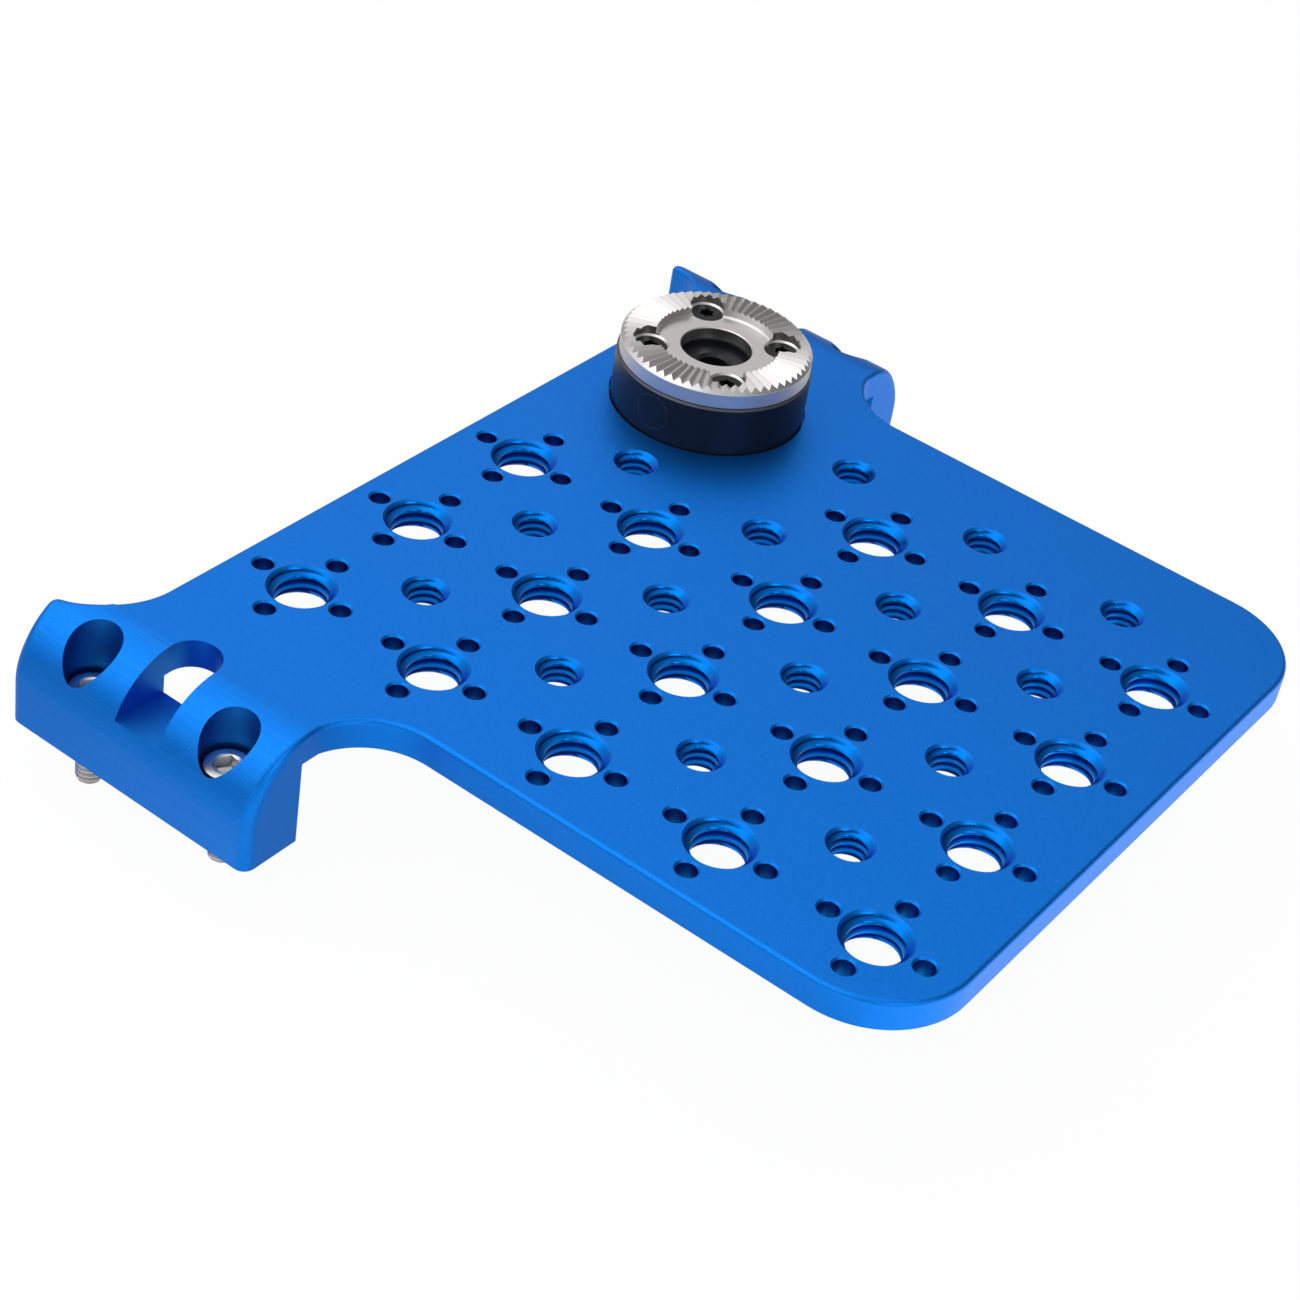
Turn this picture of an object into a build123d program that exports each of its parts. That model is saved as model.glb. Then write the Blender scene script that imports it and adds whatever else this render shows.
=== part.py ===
"""Side plate for a camera: a machined plate on two end feet, with a toothed rosette on a spacer.

Units are millimetres. The origin is midway between the four mounting screws, on the plane
that the two feet stand on. +Z points out of the plate's top face, +X runs from the feet's
end of the plate towards its far side edge, and +Y runs from one foot to the other.
"""
import os
from math import atan2, cos, degrees, radians, sin, sqrt, tan

from build123d import *
from build123d import SkipClean

# The plate
GRID = 25.4
PLATE_WIDTH = 127.0
PLATE_DEPTH = 118.34
PLATE_THICKNESS = 4.76
PLATE_TOP = 18.72
PLATE_LEFT = -13.59
CORNER_RADIUS = 15.0

# The two feet, one at each end along Y
FOOT_LEFT = -24.21
FOOT_RIGHT = 22.15
FOOT_OUTER = 81.49
FOOT_THICKNESS = 10.0
FOOT_CORNER = 1.85
SHOULDER_RADIUS = 12.0
SHOULDER_RUNOUT = 0.02
NECK_RADIUS = 12.4
NECK_OVERRUN = 0.49
NECK_LEFT_SETBACK = 20.27

# The slot in each foot, open to the outside
SLOT_WIDTH = 8.3
SLOT_LENGTH = 15.52
SLOT_FLOOR = 10.95

# The hole grid: large threads, small threads at the cell centres, and locating pins
FIRST_HOLE_X = -1.54
FIRST_HOLE_Y = -46.72
LARGE_MINOR_RADIUS = 4.0
LARGE_MOUTH_RADIUS = 5.3
SMALL_MINOR_RADIUS = 2.6
SMALL_MOUTH_RADIUS = 3.6
PIN_RADIUS = 1.55
PIN_OFFSET = 7.62

# The mounting screws: socket cap heads, half an inch of thread
SCREW_SPACING_X = 26.34
SCREW_SETBACK = 5.17
SCREW_RADIUS = 2.083
SCREW_LENGTH = 12.7
SCREW_HEAD_RADIUS = 3.43
SCREW_HEAD_HEIGHT = 4.17
SCREW_HEAD_BREAK = 0.3
SCREW_TIP_BREAK = 0.45
SCREW_SOCKET = 3.57
SCREW_SOCKET_DEPTH = 2.1
SOCKET_PILOT_RADIUS = 1.0
SOCKET_MOUTH_RADIUS = 2.15
SOCKET_MOUTH_ANGLE = 110
SOCKET_TURN = 0
RAISED_SCREW = "foot_screw_2"
SCREW_CLEARANCE = 0.07
SCREW_SEAT = 5.15
SCREW_LIFT = 2.05
COUNTERBORE_RADIUS = 4.15

# The rosette: a spacer in a shallow pocket, a toothed ring on it and four flat-head screws
ROSETTE_X = 7.73
ROSETTE_Y = 40.69
POCKET_RADIUS = 16.5
POCKET_DEPTH = 1.0
SPACER_RADIUS = 16.2
SPACER_TOP = 27.2
SPACER_BREAK = 0.3
RING_RADIUS = 15.875
RING_BREAK = 0.2
BAND_TOP = 29.77
TEETH_TOP = 30.72
TEETH_COUNT = 60
TOOTH_DEPTH = 0.66
TOOTH_LAND = 0.06
TEETH_INNER = 10.2
RECESS_FLOOR = 29.17
LEDGE_WIDTH = 0.35
LEDGE_HEIGHT = 0.3
BORE_RADIUS = 5.9
BORE_BREAK = 0.15
SPACER_RECESS = 1.1
CENTRE_MINOR_RADIUS = 2.5
CENTRE_MOUTH_RADIUS = 3.0

# The rosette's screws
ROSETTE_SCREW_CIRCLE = 11.0
ROSETTE_SCREW_RADIUS = 1.5
ROSETTE_SCREW_LENGTH = 13.7
FLAT_HEAD_RADIUS = 2.6
FLAT_HEAD_TOP = 28.95
FLAT_HEAD_RIM = 0.2
ROSETTE_TIP_BREAK = 0.3
STAR_RADIUS = 1.37
STAR_VALLEY = 1.0
STAR_DEPTH = 0.9
TEETH_POCKET_RADIUS = 2.9
CLAMP_CLEARANCE = 0.03

# Worked out from the above
UNDERSIDE = PLATE_TOP - PLATE_THICKNESS
PLATE_RIGHT = PLATE_LEFT + PLATE_WIDTH
HALF_DEPTH = PLATE_DEPTH / 2
FOOT_INNER = FOOT_OUTER - FOOT_THICKNESS
NECK_LEFT_START = FOOT_OUTER - NECK_LEFT_SETBACK
SLOT_INNER_END = FOOT_OUTER - SLOT_LENGTH
SCREW_Y = FOOT_OUTER - SCREW_SETBACK
PAST = 2.0

large_holes = [
    (FIRST_HOLE_X + GRID * i, FIRST_HOLE_Y + GRID * j)
    for j in range(4)
    for i in range(5)
    if j < 3 or i >= 2
]
small_holes = [
    (FIRST_HOLE_X + GRID * (i + 0.5), FIRST_HOLE_Y + GRID * (j + 0.5))
    for j in range(4)
    for i in range(4)
    if j < 3 or i >= 1
]
pin_holes = [
    (x + dx, y + dy)
    for x, y in large_holes
    for dx, dy in ((PIN_OFFSET, 0), (-PIN_OFFSET, 0), (0, PIN_OFFSET), (0, -PIN_OFFSET))
]
rosette_screws = [
    (
        ROSETTE_X + ROSETTE_SCREW_CIRCLE * cos(radians(45 + 90 * k)),
        ROSETTE_Y + ROSETTE_SCREW_CIRCLE * sin(radians(45 + 90 * k)),
    )
    for k in range(4)
]
foot_screws = [
    (sx * SCREW_SPACING_X / 2, sy * SCREW_Y) for sy in (-1, 1) for sx in (-1, 1)
]


def plan_outline():
    """Half of the plate's plan, from the middle line down to the near foot, as a wire."""
    neck_right_x = FOOT_RIGHT + NECK_RADIUS - NECK_OVERRUN
    neck_right_y = -HALF_DEPTH - NECK_RADIUS
    neck_left_x = PLATE_LEFT - NECK_RADIUS
    right_drop = sqrt(NECK_RADIUS**2 - (neck_right_x - FOOT_RIGHT) ** 2)
    left_drop = sqrt(NECK_RADIUS**2 - (FOOT_LEFT - neck_left_x) ** 2)
    right_end = degrees(atan2(right_drop, FOOT_RIGHT - neck_right_x))
    left_end = degrees(atan2(-left_drop, FOOT_LEFT - neck_left_x))
    Line((PLATE_RIGHT, 0), (PLATE_RIGHT, -HALF_DEPTH + CORNER_RADIUS))
    CenterArc((PLATE_RIGHT - CORNER_RADIUS, -HALF_DEPTH + CORNER_RADIUS), CORNER_RADIUS, 0, -90)
    Line((PLATE_RIGHT - CORNER_RADIUS, -HALF_DEPTH), (neck_right_x, -HALF_DEPTH))
    CenterArc((neck_right_x, neck_right_y), NECK_RADIUS, 90, right_end - 90)
    Line((FOOT_RIGHT, neck_right_y + right_drop), (FOOT_RIGHT, -FOOT_OUTER + FOOT_CORNER))
    CenterArc((FOOT_RIGHT - FOOT_CORNER, -FOOT_OUTER + FOOT_CORNER), FOOT_CORNER, 0, -90)
    Line((FOOT_RIGHT - FOOT_CORNER, -FOOT_OUTER), (FOOT_LEFT + FOOT_CORNER, -FOOT_OUTER))
    CenterArc((FOOT_LEFT + FOOT_CORNER, -FOOT_OUTER + FOOT_CORNER), FOOT_CORNER, -90, -90)
    Line((FOOT_LEFT, -FOOT_OUTER + FOOT_CORNER), (FOOT_LEFT, -NECK_LEFT_START - left_drop))
    CenterArc((neck_left_x, -NECK_LEFT_START), NECK_RADIUS, left_end, -left_end)
    Line((PLATE_LEFT, -NECK_LEFT_START), (PLATE_LEFT, 0))


# The side plate: one piece of metal with its two feet
with BuildPart() as side_plate:
    with BuildSketch(Plane.XY.offset(UNDERSIDE)):
        with BuildLine():
            plan_outline()
            mirror(about=Plane.XZ)
        make_face()
    extrude(amount=PLATE_THICKNESS)
    with BuildSketch(Plane.XY):
        with BuildLine():
            plan_outline()
            mirror(about=Plane.XZ)
        make_face()
        Rectangle(4 * PLATE_WIDTH, 2 * FOOT_INNER, mode=Mode.SUBTRACT)
    extrude(amount=UNDERSIDE)
    # The feet's rounded shoulders, whose arc runs out just past the end faces
    shoulder_end = FOOT_OUTER + SHOULDER_RUNOUT
    with BuildSketch(Plane.YZ):
        for side in (-1, 1):
            with BuildLine():
                start = (side * (shoulder_end - SHOULDER_RADIUS), PLATE_TOP)
                end = (side * shoulder_end, PLATE_TOP - SHOULDER_RADIUS)
                RadiusArc(start, end, side * SHOULDER_RADIUS)
                Polyline(
                    end,
                    (side * (FOOT_OUTER + PAST), PLATE_TOP - SHOULDER_RADIUS),
                    (side * (FOOT_OUTER + PAST), PLATE_TOP + PAST),
                    (start[0], PLATE_TOP + PAST),
                    start,
                )
            make_face()
    extrude(amount=PLATE_WIDTH, both=True, mode=Mode.SUBTRACT)
    # The slot in each foot, which runs out through the shoulder
    for side in (-1, 1):
        with BuildSketch(Plane.XY.offset(SLOT_FLOOR)):
            end_centre = side * (SLOT_INNER_END + SLOT_WIDTH / 2)
            run = FOOT_OUTER + PAST - abs(end_centre)
            with Locations((0, end_centre)):
                Circle(SLOT_WIDTH / 2)
            with Locations((0, end_centre + side * run / 2)):
                Rectangle(SLOT_WIDTH, run)
        extrude(amount=PLATE_TOP, mode=Mode.SUBTRACT)
    # Counterbores, and the screw holes under them
    with BuildSketch(Plane.XY.offset(SCREW_SEAT)):
        with Locations(*foot_screws):
            Circle(COUNTERBORE_RADIUS)
    extrude(amount=PLATE_TOP, mode=Mode.SUBTRACT)
    with BuildSketch(Plane.XY):
        with Locations(*foot_screws):
            Circle(SCREW_RADIUS + SCREW_CLEARANCE)
    extrude(amount=SCREW_SEAT, mode=Mode.SUBTRACT)
    # The hole grid: countersunk threads and plain locating pin holes
    with Locations(Plane.XY.offset(PLATE_TOP)):
        with Locations(*large_holes):
            CounterSinkHole(LARGE_MINOR_RADIUS, LARGE_MOUTH_RADIUS, PLATE_THICKNESS, 90)
        with Locations(*small_holes):
            CounterSinkHole(SMALL_MINOR_RADIUS, SMALL_MOUTH_RADIUS, PLATE_THICKNESS, 90)
        with Locations(*pin_holes):
            Hole(PIN_RADIUS, PLATE_THICKNESS)
    # The spacer's shallow pocket, and the threaded holes for the rosette's screws
    with BuildSketch(Plane.XY.offset(PLATE_TOP - POCKET_DEPTH)):
        with Locations((ROSETTE_X, ROSETTE_Y)):
            Circle(POCKET_RADIUS)
    extrude(amount=POCKET_DEPTH + PAST, mode=Mode.SUBTRACT)
    with BuildSketch(Plane.XY.offset(UNDERSIDE)):
        with Locations(*rosette_screws):
            Circle(ROSETTE_SCREW_RADIUS + CLAMP_CLEARANCE)
    extrude(amount=PLATE_THICKNESS, mode=Mode.SUBTRACT)
side_plate.part.label = "side_plate"

# The rosette's spacer, turned with a recess round the centre thread
rosette_axis = Plane.XZ.offset(-ROSETTE_Y).move(Location((ROSETTE_X, 0, 0)))
with BuildPart() as rosette_spacer:
    recess_floor = SPACER_TOP - SPACER_RECESS
    with BuildSketch(rosette_axis):
        with BuildLine():
            Polyline(
                (CENTRE_MINOR_RADIUS, PLATE_TOP - POCKET_DEPTH),
                (SPACER_RADIUS, PLATE_TOP - POCKET_DEPTH),
                (SPACER_RADIUS, SPACER_TOP - SPACER_BREAK),
                (SPACER_RADIUS - SPACER_BREAK, SPACER_TOP),
                (BORE_RADIUS, SPACER_TOP),
                (BORE_RADIUS, recess_floor),
                (CENTRE_MOUTH_RADIUS, recess_floor),
                (CENTRE_MINOR_RADIUS, recess_floor - CENTRE_MOUTH_RADIUS + CENTRE_MINOR_RADIUS),
                close=True,
            )
        make_face()
    revolve(axis=Axis((ROSETTE_X, ROSETTE_Y, 0), (0, 0, 1)))
    with BuildSketch(Plane.XY.offset(PLATE_TOP - POCKET_DEPTH)):
        with Locations(*rosette_screws):
            Circle(ROSETTE_SCREW_RADIUS + CLAMP_CLEARANCE)
    extrude(amount=SPACER_TOP - PLATE_TOP + POCKET_DEPTH, mode=Mode.SUBTRACT)
rosette_spacer.part.label = "rosette_spacer"

# The toothed ring: every tooth is wider and deeper outwards, because all the grooves are
# wedges that meet in one point on the axis, level with the tooth tips
with BuildPart() as rosette_ring:
    bevel = TEETH_TOP - BAND_TOP
    with BuildSketch(rosette_axis):
        with BuildLine():
            Polyline(
                (BORE_RADIUS, SPACER_TOP),
                (RING_RADIUS - RING_BREAK, SPACER_TOP),
                (RING_RADIUS, SPACER_TOP + RING_BREAK),
                (RING_RADIUS, BAND_TOP),
                (RING_RADIUS - bevel, TEETH_TOP),
                (TEETH_INNER, TEETH_TOP),
                (TEETH_INNER, RECESS_FLOOR + LEDGE_HEIGHT),
                (TEETH_INNER - LEDGE_WIDTH, RECESS_FLOOR + LEDGE_HEIGHT),
                (TEETH_INNER - LEDGE_WIDTH - LEDGE_HEIGHT, RECESS_FLOOR),
                (BORE_RADIUS + BORE_BREAK, RECESS_FLOOR),
                (BORE_RADIUS, RECESS_FLOOR - BORE_BREAK),
                close=True,
            )
        make_face()
    revolve(axis=Axis((ROSETTE_X, ROSETTE_Y, 0), (0, 0, 1)))
    # One groove, from inside the teeth to outside the ring, then the full circle of them
    half_pitch = radians(180 / TEETH_COUNT)
    with BuildPart(mode=Mode.PRIVATE) as groove:
        for reach in (TEETH_INNER - PAST / 2, RING_RADIUS + PAST):
            half_width = reach * tan(half_pitch) - TOOTH_LAND / 2
            depth = TOOTH_DEPTH * reach / RING_RADIUS
            rise = depth * PAST / reach
            flare = half_width * (depth + rise) / depth
            with BuildSketch(Plane.YZ.offset(reach)):
                with BuildLine():
                    Polyline((0, -depth), (flare, rise), (-flare, rise), close=True)
                make_face()
        loft(ruled=True)
    with Locations((ROSETTE_X, ROSETTE_Y, TEETH_TOP)):
        with PolarLocations(0, TEETH_COUNT, start_angle=180 / TEETH_COUNT):
            add(groove.part, mode=Mode.SUBTRACT)
    # Pockets through the teeth, then countersunk screw holes in the flat
    with BuildSketch(Plane.XY.offset(RECESS_FLOOR)):
        with Locations(*rosette_screws):
            Circle(TEETH_POCKET_RADIUS)
    extrude(amount=PAST, mode=Mode.SUBTRACT)
    with Locations(Plane.XY.offset(RECESS_FLOOR)):
        with Locations(*rosette_screws):
            CounterSinkHole(
                ROSETTE_SCREW_RADIUS + CLAMP_CLEARANCE,
                FLAT_HEAD_RADIUS + RECESS_FLOOR - FLAT_HEAD_TOP + FLAT_HEAD_RIM,
                PLATE_TOP,
                90,
            )
rosette_ring.part.label = "rosette_ring"

# The rosette's four flat-head screws, with star recesses, through ring and spacer into the plate
pieces = [side_plate.part, rosette_spacer.part, rosette_ring.part]
for index, (x, y) in enumerate(rosette_screws, start=1):
    head_plane = Plane((x, y, FLAT_HEAD_TOP))
    with BuildPart() as rosette_screw:
        with BuildSketch(Plane((x, y, FLAT_HEAD_TOP), x_dir=(1, 0, 0), z_dir=(0, -1, 0))):
            with BuildLine():
                Polyline(
                    (0, 0),
                    (FLAT_HEAD_RADIUS, 0),
                    (FLAT_HEAD_RADIUS, -FLAT_HEAD_RIM),
                    (ROSETTE_SCREW_RADIUS, ROSETTE_SCREW_RADIUS - FLAT_HEAD_RADIUS - FLAT_HEAD_RIM),
                    (ROSETTE_SCREW_RADIUS, ROSETTE_TIP_BREAK - ROSETTE_SCREW_LENGTH),
                    (ROSETTE_SCREW_RADIUS - ROSETTE_TIP_BREAK, -ROSETTE_SCREW_LENGTH),
                    (0, -ROSETTE_SCREW_LENGTH),
                    close=True,
                )
            make_face()
        revolve(axis=Axis((x, y, 0), (0, 0, 1)))
        with BuildSketch(head_plane):
            star_corners = [
                (reach * cos(radians(30 * k)), reach * sin(radians(30 * k)))
                for k, reach in enumerate([STAR_RADIUS, STAR_VALLEY] * 6)
            ]
            Polygon(*star_corners, align=None)
        extrude(amount=-STAR_DEPTH, mode=Mode.SUBTRACT)
    rosette_screw.part.label = f"rosette_screw_{index}"
    pieces.append(rosette_screw.part)

# The four mounting screws: three stand home in their counterbores, one is backed out a little.
# The free end below the foot is what goes into the camera. Its wall is a face of its own, so it
# is joined on last, without merging it with the wall inside the foot.
for index, (x, y) in enumerate(foot_screws, start=1):
    label = f"foot_screw_{index}"
    seat = SCREW_SEAT + (SCREW_LIFT if label == RAISED_SCREW else 0.0)
    head_top = seat + SCREW_HEAD_HEIGHT
    tip = seat - SCREW_LENGTH
    screw_axis = Axis((x, y, 0), (0, 0, 1))
    screw_section = Plane((x, y, 0), x_dir=(1, 0, 0), z_dir=(0, -1, 0))
    with BuildPart() as free_end:
        with BuildSketch(screw_section):
            with BuildLine():
                Polyline(
                    (0, 0),
                    (SCREW_RADIUS, 0),
                    (SCREW_RADIUS, tip + SCREW_TIP_BREAK),
                    (SCREW_RADIUS - SCREW_TIP_BREAK, tip),
                    (0, tip),
                    close=True,
                )
            make_face()
        revolve(axis=screw_axis)
    with BuildPart() as foot_screw:
        with BuildSketch(screw_section):
            with BuildLine():
                Polyline(
                    (0, head_top),
                    (SCREW_HEAD_RADIUS - SCREW_HEAD_BREAK, head_top),
                    (SCREW_HEAD_RADIUS, head_top - SCREW_HEAD_BREAK),
                    (SCREW_HEAD_RADIUS, seat),
                    (SCREW_RADIUS, seat),
                    (SCREW_RADIUS, 0),
                    (0, 0),
                    close=True,
                )
            make_face()
        revolve(axis=screw_axis)
        with BuildSketch(Plane((x, y, head_top))):
            RegularPolygon(SCREW_SOCKET / 2, 6, major_radius=False, rotation=SOCKET_TURN)
        extrude(amount=-SCREW_SOCKET_DEPTH, mode=Mode.SUBTRACT)
        with Locations((x, y, head_top)):
            CounterSinkHole(
                SOCKET_PILOT_RADIUS, SOCKET_MOUTH_RADIUS, SCREW_SOCKET_DEPTH, SOCKET_MOUTH_ANGLE
            )
        with SkipClean():
            add(free_end.part, clean=False)
    foot_screw.part.label = label
    pieces.append(foot_screw.part)

os.makedirs("parts", exist_ok=True)
for piece in pieces:
    export_step(piece, f"parts/{piece.label}.step")
    print(piece.label, round(piece.volume, 1), piece.is_valid)
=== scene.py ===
from math import asin, atan2, cos, pi, radians, sin, sqrt, tan

import bmesh
import bpy
from mathutils import Matrix, Vector
from mathutils.geometry import delaunay_2d_cdt


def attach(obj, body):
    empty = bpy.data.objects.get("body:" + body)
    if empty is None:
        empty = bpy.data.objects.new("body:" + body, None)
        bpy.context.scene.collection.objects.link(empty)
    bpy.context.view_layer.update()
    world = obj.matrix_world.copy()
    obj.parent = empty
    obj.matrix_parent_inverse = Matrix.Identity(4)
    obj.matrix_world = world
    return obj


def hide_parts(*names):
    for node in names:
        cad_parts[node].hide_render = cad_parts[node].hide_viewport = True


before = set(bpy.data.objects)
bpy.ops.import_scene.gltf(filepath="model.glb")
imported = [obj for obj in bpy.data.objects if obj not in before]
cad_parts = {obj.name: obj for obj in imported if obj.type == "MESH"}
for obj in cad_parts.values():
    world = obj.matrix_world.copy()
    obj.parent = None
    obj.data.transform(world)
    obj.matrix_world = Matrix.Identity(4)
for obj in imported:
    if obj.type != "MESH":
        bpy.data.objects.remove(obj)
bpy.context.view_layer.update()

# The camera stands at the photograph's viewpoint, high over the near right corner and turned
# a little on its own axis. The shift places the picture's centre as the photograph has it.
CAMERA_PLACE = (0.20872, -0.29324, 0.26031)
CAMERA_RIGHT = Vector((0.794021, 0.589206, 0.149554))
CAMERA_UP = Vector((-0.444389, 0.394746, 0.804173))
CAMERA_BACK = Vector((0.414788, -0.704991, 0.575273))

camera_data = bpy.data.cameras.new("photograph_camera")
camera_data.sensor_width = 36.0
camera_data.lens = 76.391
camera_data.shift_x = -0.03900
camera_data.shift_y = -0.06789
camera_data.clip_start = 0.01
camera_data.clip_end = 20.0
camera = bpy.data.objects.new("photograph_camera", camera_data)
turn = Matrix((CAMERA_RIGHT, CAMERA_UP, CAMERA_BACK)).transposed().to_4x4()
camera.matrix_world = Matrix.Translation(CAMERA_PLACE) @ turn
bpy.context.collection.objects.link(camera)
bpy.context.scene.camera = camera
bpy.context.scene.view_settings.view_transform = "Standard"


class Value:
    """A socket in a node tree, so that sums of sockets read as ordinary sums."""

    def __init__(self, tree, socket):
        self.tree = tree
        self.socket = socket

    def sum(self, operation, *others, swap=False):
        values = [self, *others]
        if swap:
            values.reverse()
        return add_node(self.tree, "ShaderNodeMath", {"operation": operation}, values)

    def __add__(self, other):
        return self.sum("ADD", other)

    __radd__ = __add__

    def __mul__(self, other):
        return self.sum("MULTIPLY", other)

    def __sub__(self, other):
        return self.sum("SUBTRACT", other)

    def __rsub__(self, other):
        return self.sum("SUBTRACT", other, swap=True)

    def __truediv__(self, other):
        return self.sum("DIVIDE", other)

    def __gt__(self, other):
        return self.sum("GREATER_THAN", other)


def add_node(tree, kind, settings=None, sockets=None, out=0):
    """Adds one node, with its settings first and then the values or links of its sockets."""
    node = tree.nodes.new(kind)
    for name, value in (settings or {}).items():
        setattr(node, name, value)
    pairs = enumerate(sockets) if isinstance(sockets, (list, tuple)) else (sockets or {}).items()
    for key, value in pairs:
        if isinstance(value, Value):
            tree.links.new(value.socket, node.inputs[key])
        elif value is not None:
            node.inputs[key].default_value = value
    return Value(tree, node.outputs[out]) if node.outputs else node


def new_finish(name):
    """A new material, with its node tree and its one shader."""
    material = bpy.data.materials.new(name)
    material.use_nodes = True
    return material, material.node_tree, material.node_tree.nodes["Principled BSDF"]


def feed(tree, shader, sockets):
    """Sets the shader's sockets to plain values or links."""
    for name, value in sockets.items():
        if isinstance(value, Value):
            tree.links.new(value.socket, shader.inputs[name])
        else:
            shader.inputs[name].default_value = value


def object_place(tree, stretch=(1, 1, 1)):
    """Where a point lies on the object, stretched along each axis for a pattern."""
    place = add_node(tree, "ShaderNodeTexCoord", out=3)
    return add_node(tree, "ShaderNodeMapping", None, {"Vector": place, "Scale": stretch})


def cloud(tree, place, scale, detail=2.0):
    """Soft random variation between nought and one."""
    sockets = {"Vector": place, "Scale": scale, "Detail": detail}
    return add_node(tree, "ShaderNodeTexNoise", None, sockets)


# The white surround: a floor just under the screws' tips. The camera sees it white, with a trace
# of the plate's shadow. In the metal it is darker under the plate and brighter to the right.
FLOOR_LEVEL = -0.0078
FLOOR_HALF = 3.0
SHADED_MIDDLE = 0.045
SHADED_HALF_WIDTH = 0.045
SHADED_HALF_DEPTH = 0.060
SHADED_LEVEL = 0.60
SHADED_EDGE = 40.0
OPEN_LEVEL = 0.84
OPEN_RISE = 4.0
OPEN_LOWEST = 0.70
OPEN_HIGHEST = 1.50
CAMERA_SHARE = 0.96

floor_mesh = bpy.data.meshes.new("floor")
floor_corners = [(-1, -1), (1, -1), (1, 1), (-1, 1)]
floor_places = [(x * FLOOR_HALF, y * FLOOR_HALF, FLOOR_LEVEL) for x, y in floor_corners]
floor_mesh.from_pydata(floor_places, [], [(0, 1, 2, 3)])
floor = bpy.data.objects.new("floor", floor_mesh)
bpy.context.collection.objects.link(floor)
floor_finish, tree, shader = new_finish("pale_floor")
feed(tree, shader, {"Base Color": (0.9, 0.9, 0.9, 1), "Roughness": 0.8})
seen = add_node(tree, "ShaderNodeLightPath", out=0)
mirrored = add_node(tree, "ShaderNodeLightPath", out=3)
through = add_node(tree, "ShaderNodeLightPath", out=6)
plain = Value(tree, shader.outputs[0])
place = add_node(tree, "ShaderNodeSeparateXYZ", None, [object_place(tree)])
aside = (place - SHADED_MIDDLE).sum("ABSOLUTE") - SHADED_HALF_WIDTH
beyond = Value(tree, place.socket.node.outputs[1]).sum("ABSOLUTE") - SHADED_HALF_DEPTH
brighter_right = place * OPEN_RISE + OPEN_LEVEL
brighter_right = brighter_right.sum("MAXIMUM", OPEN_LOWEST).sum("MINIMUM", OPEN_HIGHEST)
open_floor = (aside.sum("MAXIMUM", beyond) * SHADED_EDGE).sum("MAXIMUM", SHADED_LEVEL)
open_floor = open_floor.sum("MINIMUM", brighter_right)
level = (mirrored * open_floor).sum("MAXIMUM", seen).sum("MAXIMUM", through)
white = add_node(tree, "ShaderNodeEmission", None, {"Color": level, "Strength": 1.0})
shown = (seen * CAMERA_SHARE).sum("MAXIMUM", mirrored).sum("MAXIMUM", through)
surface = add_node(tree, "ShaderNodeMixShader", None, [shown, plain, white])
tree.links.new(surface.socket, tree.nodes["Material Output"].inputs["Surface"])
floor_mesh.materials.append(floor_finish)

# The studio's light is brightest overhead and a little to the left, and falls off to the sides
SKY_RISE = 2.2
SKY_START = 0.77
SKY_LEVEL = 0.85
SKY_LOWEST = 0.2
SKY_HIGHEST = 1.5

world = bpy.data.worlds.new("studio")
world.use_nodes = True
bpy.context.scene.world = world
tree = world.node_tree
seen = add_node(tree, "ShaderNodeLightPath", out=0)
towards = add_node(tree, "ShaderNodeSeparateXYZ", None, [add_node(tree, "ShaderNodeTexCoord")])
height = Value(tree, towards.socket.node.outputs[2])
soft_sky = (height * SKY_RISE - towards - SKY_START) * SKY_LEVEL
soft_sky = soft_sky.sum("MAXIMUM", SKY_LOWEST).sum("MINIMUM", SKY_HIGHEST)
strength = soft_sky * (1 - seen) + seen
tree.nodes["Background"].inputs["Color"].default_value = (1, 1, 1, 1)
tree.links.new(strength.socket, tree.nodes["Background"].inputs["Strength"])


def softbox(name, place, aim, size, power):
    """A square studio light, aimed at a point of the object."""
    light = bpy.data.lights.new(name, "AREA")
    light.shape = "SQUARE"
    light.size = size
    light.energy = power
    lamp = bpy.data.objects.new(name, light)
    lamp.rotation_mode = "QUATERNION"
    lamp.location = place
    lamp.rotation_quaternion = (Vector(aim) - Vector(place)).to_track_quat("-Z", "Y")
    bpy.context.collection.objects.link(lamp)


softbox("front_left_light", (-0.45, -0.95, 0.95), (0.03, -0.04, 0.0), size=1.5, power=4.4)
softbox("front_right_light", (0.40, -1.25, 0.12), (0.05, -0.04, 0.0), size=0.8, power=1.6)
softbox("right_light", (1.10, -0.50, 0.70), (0.05, -0.04, 0.0), size=0.7, power=3.6)

# The side plate: one piece of aluminium, milled and anodised blue. Its outer skin is flat, bends
# over each foot's shoulder and runs down the end, with rounded edges.
MM = 0.001
TOP = 18.72
UNDERSIDE = 13.96
PLATE_LEFT = -13.59
PLATE_RIGHT = 113.41
HALF_DEPTH = 59.17
CORNER = 15.0
FOOT_LEFT = -24.21
FOOT_RIGHT = 22.15
FOOT_OUTER = 81.49
FOOT_INNER = 71.49
SHOULDER = 12.0
SHOULDER_START = FOOT_OUTER - SHOULDER
SHOULDER_LENGTH = SHOULDER * pi / 2
SKIN_END = SHOULDER_START + SHOULDER_LENGTH + TOP - SHOULDER
NECK = 12.4
NECK_OVERLAP = 0.49
NECK_RIGHT_X = FOOT_RIGHT + NECK - NECK_OVERLAP
NECK_RIGHT_Y = HALF_DEPTH + NECK
NECK_LEFT_X = PLATE_LEFT - NECK
NECK_LEFT_Y = 61.22
CUSP = 1.6
CUSP_X = FOOT_LEFT + CUSP
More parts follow.
